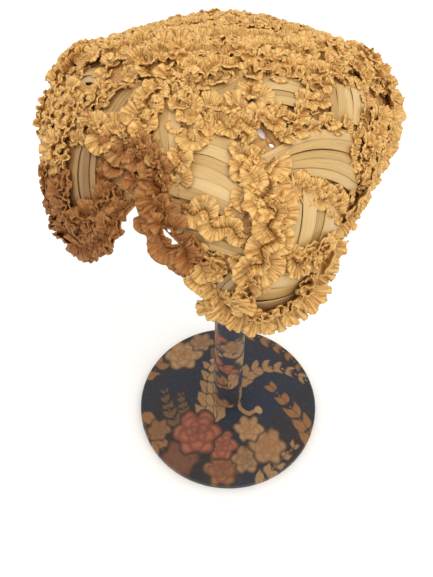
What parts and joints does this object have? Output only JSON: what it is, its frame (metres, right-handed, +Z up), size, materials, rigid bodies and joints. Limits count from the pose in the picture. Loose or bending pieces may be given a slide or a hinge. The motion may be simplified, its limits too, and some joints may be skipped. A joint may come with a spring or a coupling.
{
  "type": "half hat on a hat stand",
  "caption": "Ruffled straw half hat with flat straw patches, a forehead lobe and a side lobe, resting on a round cloth-covered hat stand.",
  "frame": {"origin": "middle of the stand's flat underside", "axes": "+Z up along the stem, -Y towards the hat's forehead lobe, +X to the wearer's left"},
  "size_m": [0.2239, 0.2123, 0.3643],
  "materials": {
    "printed_cloth": "matt printed cotton, traditional flowers and scrolls on navy",
    "wrapped_cloth": "matt printed cotton strip, wound on",
    "cap_cloth": "matt plain cotton",
    "plaited_straw": "matt plaited straw",
    "flat_straw": "satin flat straw",
    "ruffled_straw": "matt crimped straw braid"
  },
  "bodies": {
    "root": {"stand_base": "printed_cloth", "stand_stem": "wrapped_cloth", "stand_cap": "cap_cloth", "straw_base": "plaited_straw", "straw_panel_front": "flat_straw", "straw_panel_right": "flat_straw", "straw_panel_right_fan": "flat_straw", "straw_panel_forehead": "flat_straw", "straw_panel_notch": "flat_straw", "straw_panel_crown_left": "flat_straw", "straw_panel_crown": "flat_straw", "straw_panel_crown_right": "flat_straw", "straw_panel_far_right": "flat_straw", "straw_panel_back_left": "flat_straw", "straw_panel_left": "flat_straw", "straw_panel_side_lobe": "flat_straw", "ruffle_back": "ruffled_straw", "ruffle_back_low": "ruffled_straw", "ruffle_crown": "ruffled_straw", "ruffle_middle": "ruffled_straw", "ruffle_right": "ruffled_straw", "ruffle_fold": "ruffled_straw", "ruffle_divider": "ruffled_straw", "ruffle_fan": "ruffled_straw", "ruffle_left_of_front": "ruffled_straw", "ruffle_under_front": "ruffled_straw", "ruffle_under_notch": "ruffled_straw", "ruffle_notch": "ruffled_straw", "ruffle_side_lobe": "ruffled_straw", "ruffle_left": "ruffled_straw", "rim_ruffle_right": "ruffled_straw", "rim_ruffle_back_right": "ruffled_straw", "rim_ruffle_back_left": "ruffled_straw", "rim_ruffle_left": "ruffled_straw", "rim_ruffle_side_lobe": "ruffled_straw", "rim_ruffle_notch": "ruffled_straw", "rim_ruffle_forehead": "ruffled_straw"}
  },
  "joints": []
}
